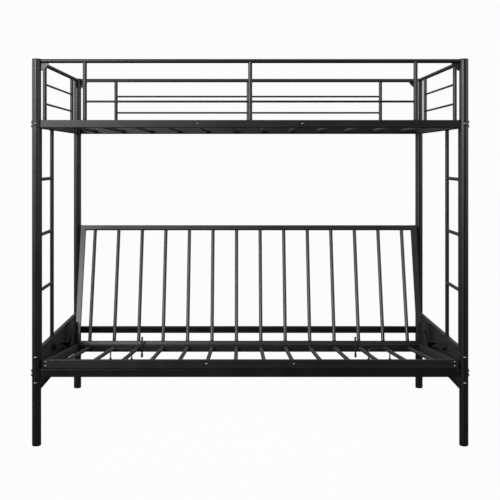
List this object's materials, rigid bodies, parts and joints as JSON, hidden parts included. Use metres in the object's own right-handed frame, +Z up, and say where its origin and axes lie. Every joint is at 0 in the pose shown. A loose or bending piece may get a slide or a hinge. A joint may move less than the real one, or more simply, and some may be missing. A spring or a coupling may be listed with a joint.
{
  "type": "futon bunk bed",
  "caption": "Metal bunk bed frame with a guarded single bunk on slats over a folding futon seat and back that slide out flat to make a full-width bed, with a ladder at each end.",
  "frame": {"origin": "on the floor, midway between the four posts", "axes": "+X along the bed to the viewer's right, -Y is the front that the seat faces, +Z up"},
  "size_m": [1.991, 1.063, 1.755],
  "materials": {
    "black_powder_coat": "satin black powder coat",
    "bolts": "dark zinc plated, satin",
    "zinc_steel": "zinc plated",
    "black_plastic": "fine grained black plastic",
    "nylon": "black nylon",
    "rubber": "matt black rubber"
  },
  "bodies": {
    "root": {"post_front_left": "black_powder_coat", "post_front_right": "black_powder_coat", "post_back_left": "black_powder_coat", "post_back_right": "black_powder_coat", "post_top_caps": "black_plastic", "foot_caps": "black_plastic", "upper_front_rail": "black_powder_coat", "upper_back_rail": "black_powder_coat", "upper_end_rail_left": "black_powder_coat", "upper_end_rail_right": "black_powder_coat", "upper_slats": "black_powder_coat", "upper_slat_bolts": "bolts", "front_guard_top_rail": "black_powder_coat", "front_guard_uprights": "black_powder_coat", "front_guard_mid_rails": "black_powder_coat", "back_guard_top_rail": "black_powder_coat", "back_guard_uprights": "black_powder_coat", "back_guard_mid_rails": "black_powder_coat", "end_guard_top_rails": "black_powder_coat", "end_guard_uprights": "black_powder_coat", "end_guard_mid_rails": "black_powder_coat", "guard_corner_gussets": "black_powder_coat", "ladder_rails_left": "black_powder_coat", "ladder_rungs_left": "black_powder_coat", "ladder_rails_right": "black_powder_coat", "ladder_rungs_right": "black_powder_coat", "side_panel_left": "black_powder_coat", "side_panel_right": "black_powder_coat", "guide_track_left": "black_plastic", "guide_track_right": "black_plastic", "front_stretcher": "black_powder_coat", "back_stretcher": "black_powder_coat", "saddle_brackets": "black_powder_coat", "saddle_pins": "zinc_steel", "upper_rail_bolts": "bolts", "end_rail_bolts": "bolts", "stretcher_bolts": "bolts", "side_panel_bolts": "bolts"},
    "saddles": {"rail_saddles": "nylon"},
    "futon_seat": {"seat_front_rail": "black_powder_coat", "seat_rear_rail": "black_powder_coat", "seat_side_rails": "black_powder_coat", "seat_slats": "black_powder_coat", "seat_end_tabs": "black_powder_coat", "seat_end_bolts": "bolts", "seat_slat_bolts": "bolts", "hinge_ears": "black_powder_coat", "stop_pegs": "black_powder_coat", "hinge_pins": "zinc_steel", "guide_glides": "nylon", "mattress_hoops": "black_powder_coat", "hoop_collars": "black_powder_coat", "mattress_clips": "black_powder_coat", "clip_tips": "rubber"},
    "futon_back": {"back_bottom_rail": "black_powder_coat", "back_top_rail": "black_powder_coat", "back_side_rails": "black_powder_coat", "back_spindles": "black_powder_coat", "rest_pads": "rubber"}
  },
  "joints": [
    {"name": "saddle_rock", "type": "hinge", "parent": "root", "child": "saddles", "pos_m": [0, -0.482, 0.341], "axis": [1, 0, 0], "range_deg": [0, 6.7]},
    {"name": "seat_slide", "type": "slide", "parent": "saddles", "child": "futon_seat", "axis": [0, -0.9932, 0.1167], "range_m": [0, 0.395]},
    {"name": "back_fold", "type": "hinge", "parent": "futon_seat", "child": "futon_back", "pos_m": [0, 0.24987, 0.28624], "axis": [1, 0, 0], "range_deg": [-79.5, 0]}
  ],
  "couplings": [
    {"joint": "saddle_rock", "follows": "seat_slide", "rad_per_m": 0.29604},
    {"joint": "back_fold", "follows": "seat_slide", "rad_per_m": -3.5128}
  ]
}
